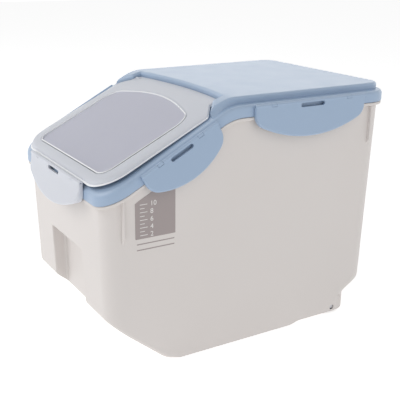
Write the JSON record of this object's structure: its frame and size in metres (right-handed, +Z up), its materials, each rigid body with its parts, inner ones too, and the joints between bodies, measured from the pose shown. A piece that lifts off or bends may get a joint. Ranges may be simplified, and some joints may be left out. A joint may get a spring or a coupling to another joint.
{
  "type": "rice bin with flip lid",
  "caption": "Drafted plastic rice bin on rear rollers, with a sloping lift-off lid, side latches and a see-through latched flip lid over the pour opening.",
  "frame": {"origin": "middle of the overall box, at floor level", "axes": "+X to the right as seen from the front, +Y towards the back, +Z up; the flip lid and the hand notch are at the front, -Y"},
  "size_m": [0.2512, 0.362, 0.2693],
  "materials": {
    "bin_plastic": "satin moulded polypropylene, warm off-white",
    "lid_plastic": "satin moulded polypropylene, pale blue",
    "clear_plastic": "frosted see-through moulded plastic",
    "silicone": "matte white silicone",
    "pin_steel": "drawn wire",
    "roller_plastic": "matte moulded grey",
    "label_print": "printed grey panel"
  },
  "bodies": {
    "bin": {"bin_body": "bin_plastic", "level_label": "label_print", "axle_pin_left": "pin_steel", "axle_pin_right": "pin_steel"},
    "main_lid": {"main_lid": "lid_plastic", "main_lid_seal": "silicone", "flip_hinge_pin_left": "pin_steel", "flip_hinge_pin_right": "pin_steel", "latch_pin_right_rear": "pin_steel", "latch_pin_right_front": "pin_steel", "latch_pin_left_rear": "pin_steel", "latch_pin_left_front": "pin_steel"},
    "flip_lid": {"flip_lid": "clear_plastic", "flip_lid_seal": "silicone", "flip_latch_pin": "pin_steel"},
    "flip_latch": {"flip_latch": "clear_plastic"},
    "latch_right_rear": {"latch_right_rear": "lid_plastic"},
    "latch_right_front": {"latch_right_front": "lid_plastic"},
    "roller_right": {"roller_right": "roller_plastic"},
    "latch_left_rear": {"latch_left_rear": "lid_plastic"},
    "latch_left_front": {"latch_left_front": "lid_plastic"},
    "roller_left": {"roller_left": "roller_plastic"}
  },
  "joints": [
    {"name": "main_lid_lift", "type": "slide", "parent": "bin", "child": "main_lid", "axis": [0, 0, 1], "range_m": [0, 0.11]},
    {"name": "flip_lid_swing", "type": "hinge", "parent": "main_lid", "child": "flip_lid", "pos_m": [0, -0.03105, 0.2609], "axis": [-1, 0, 0], "range_deg": [0, 118]},
    {"name": "flip_latch_swing", "type": "hinge", "parent": "flip_lid", "child": "flip_latch", "pos_m": [0, -0.17135, 0.19269], "axis": [-1, 0, 0], "range_deg": [0, 110]},
    {"name": "latch_right_rear_swing", "type": "hinge", "parent": "main_lid", "child": "latch_right_rear", "pos_m": [0.1215, 0.06595, 0.2598], "axis": [0, -1, 0], "range_deg": [0, 110]},
    {"name": "latch_right_front_swing", "type": "hinge", "parent": "main_lid", "child": "latch_right_front", "pos_m": [0.1215, -0.09018, 0.22728], "axis": [0, -0.8846, -0.4664], "range_deg": [0, 110]},
    {"name": "latch_left_rear_swing", "type": "hinge", "parent": "main_lid", "child": "latch_left_rear", "pos_m": [-0.1215, 0.06595, 0.2598], "axis": [0, 1, 0], "range_deg": [0, 110]},
    {"name": "latch_left_front_swing", "type": "hinge", "parent": "main_lid", "child": "latch_left_front", "pos_m": [-0.1215, -0.09018, 0.22728], "axis": [0, 0.8846, 0.4664], "range_deg": [0, 110]},
    {"name": "roller_right_turn", "type": "hinge", "parent": "bin", "child": "roller_right", "pos_m": [0.096, 0.11955, 0.008], "axis": [1, 0, 0], "continuous": true},
    {"name": "roller_left_turn", "type": "hinge", "parent": "bin", "child": "roller_left", "pos_m": [-0.096, 0.11955, 0.008], "axis": [1, 0, 0], "continuous": true}
  ]
}
